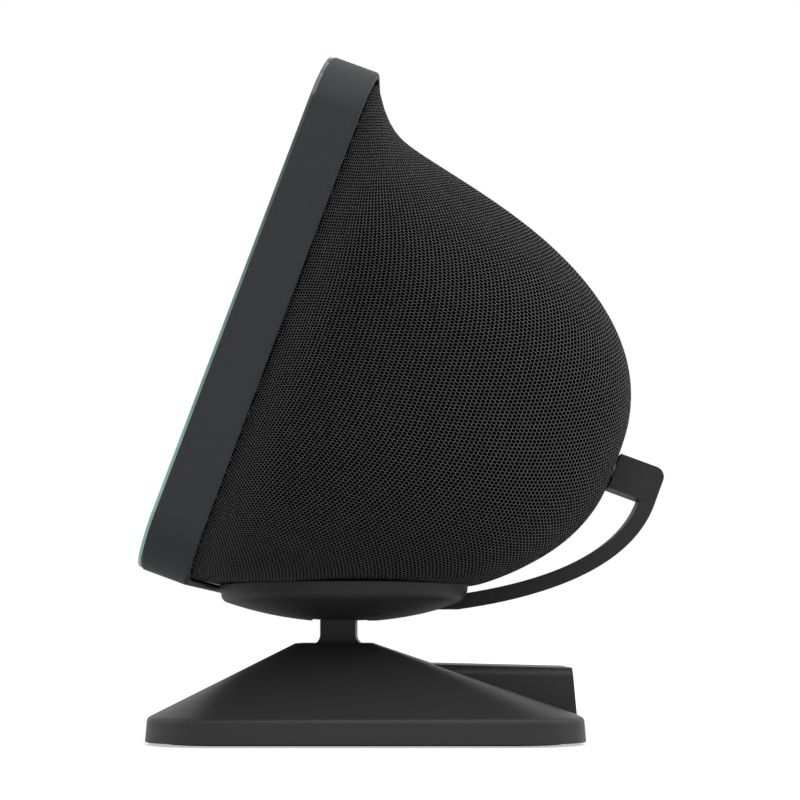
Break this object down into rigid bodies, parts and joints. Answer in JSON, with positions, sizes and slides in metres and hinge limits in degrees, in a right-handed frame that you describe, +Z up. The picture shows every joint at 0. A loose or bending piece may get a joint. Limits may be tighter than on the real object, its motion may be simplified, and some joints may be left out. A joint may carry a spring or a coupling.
{
  "type": "smart speaker",
  "caption": "Screen speaker with a fabric-covered dome body in an oval cradle that tilts on a weighted pyramid base, fed through a curved power arm.",
  "frame": {"origin": "middle of the base's footprint on the surface it stands on", "axes": "+Z up, the screen faces -Y, +X to the right of someone who faces the screen"},
  "size_m": [0.2, 0.1442, 0.1759],
  "materials": {
    "cover_glass": "polished",
    "charcoal_frame": "matte",
    "charcoal_control": "matte",
    "charcoal_stand": "matte",
    "charcoal_cradle": "matte",
    "knit_fabric": "knitted",
    "black_plastic": "matte",
    "display_black": "gloss",
    "circuit_board": "satin",
    "chassis_metal": "satin",
    "driver_metal": "satin",
    "driver_cone": "matte",
    "rubber": "matte",
    "magnet": "polished",
    "steel": "brushed",
    "bearing": "satin"
  },
  "bodies": {
    "stand": {"base_shell": "charcoal_stand", "base_plate": "steel", "ballast_plate": "steel", "base_foot": "rubber", "base_screws": "steel", "neck": "charcoal_stand", "neck_clamp": "steel", "neck_screws": "steel", "hinge_bushes": "bearing", "stand_board": "circuit_board", "power_inlet": "black_plastic", "usb_port": "steel"},
    "head": {"front_glass": "cover_glass", "bezel_frame": "charcoal_frame", "cradle_tray": "charcoal_cradle", "power_arm": "charcoal_cradle", "fabric_cover": "knit_fabric", "rear_shell": "black_plastic", "cradle_deck": "black_plastic", "dc_jack": "black_plastic", "camera_module": "black_plastic", "microphones": "black_plastic", "display_panel": "display_black", "main_board": "circuit_board", "button_board": "circuit_board", "display_chassis": "chassis_metal", "heat_spreader": "chassis_metal", "left_driver": "driver_metal", "right_driver": "driver_metal", "left_cone": "driver_cone", "right_cone": "driver_cone", "passive_radiator": "driver_cone", "speaker_foot": "rubber", "cradle_pad": "rubber", "foot_magnets": "magnet", "cradle_magnets": "magnet", "hinge_pin": "steel", "spring_washers": "steel", "hinge_cap": "steel", "chassis_screws": "steel", "shell_screws": "steel", "deck_screws": "steel", "arm_screws": "steel", "plug_sleeve": "steel", "friction_washers": "bearing"},
    "mic_off_button": {"mic_off_button": "charcoal_control"},
    "volume_down_button": {"volume_down_button": "charcoal_control"},
    "volume_up_button": {"volume_up_button": "charcoal_control"},
    "camera_shutter": {"camera_shutter": "charcoal_control"}
  },
  "joints": [
    {"name": "tilt", "type": "hinge", "parent": "stand", "child": "head", "pos_m": [0, -0.0084, 0.0376], "axis": [-1, 0, 0], "range_deg": [-20, 20]},
    {"name": "mic_off_button_press", "type": "slide", "parent": "head", "child": "mic_off_button", "axis": [0, -0.3469, -0.9379], "range_m": [0, 0.0005], "stiffness_N_per_m": 1500, "springref_m": -0.0003},
    {"name": "volume_down_button_press", "type": "slide", "parent": "head", "child": "volume_down_button", "axis": [0, -0.3469, -0.9379], "range_m": [0, 0.0005], "stiffness_N_per_m": 1500, "springref_m": -0.0003},
    {"name": "volume_up_button_press", "type": "slide", "parent": "head", "child": "volume_up_button", "axis": [0, -0.3469, -0.9379], "range_m": [0, 0.0005], "stiffness_N_per_m": 1500, "springref_m": -0.0003},
    {"name": "camera_cover_slide", "type": "slide", "parent": "head", "child": "camera_shutter", "axis": [1, 0, 0], "range_m": [0, 0.008]}
  ]
}
